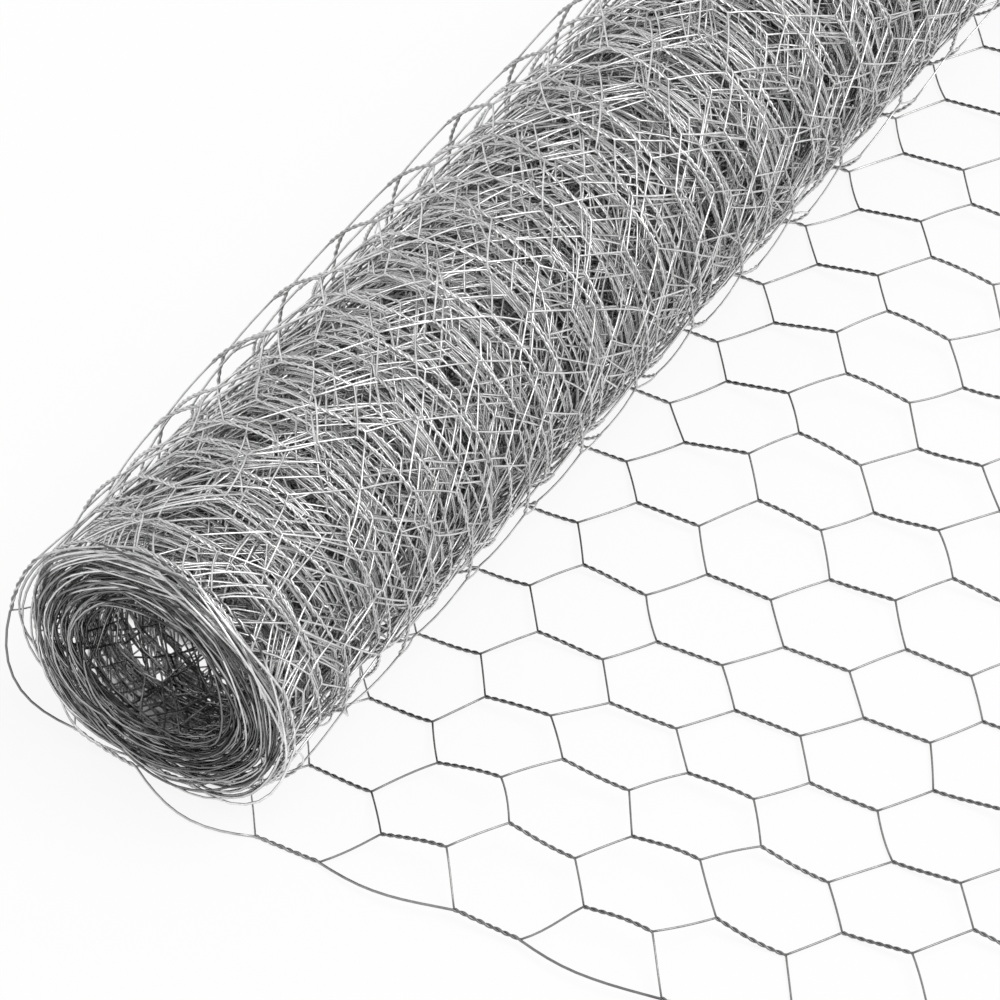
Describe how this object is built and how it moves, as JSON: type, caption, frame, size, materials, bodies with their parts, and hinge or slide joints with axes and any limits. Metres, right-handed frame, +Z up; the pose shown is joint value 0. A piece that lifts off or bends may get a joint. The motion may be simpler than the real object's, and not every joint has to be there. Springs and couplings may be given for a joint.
{
  "type": "roll of chicken wire",
  "caption": "Roll of galvanised hexagonal wire netting lying on its side, with an open bore and its free end unrolled flat on the floor, a little askew.",
  "frame": {"origin": "on the floor, under the middle of the whole part's box", "axes": "+Y along the roll, +X along the unrolled end, +Z up"},
  "size_m": [0.5286, 0.9318, 0.1421],
  "materials": {
    "galvanised_wire": "galvanised, dull silver"
  },
  "bodies": {
    "root": {"wound_roll": "galvanised_wire", "unrolled_end": "galvanised_wire"}
  },
  "joints": []
}
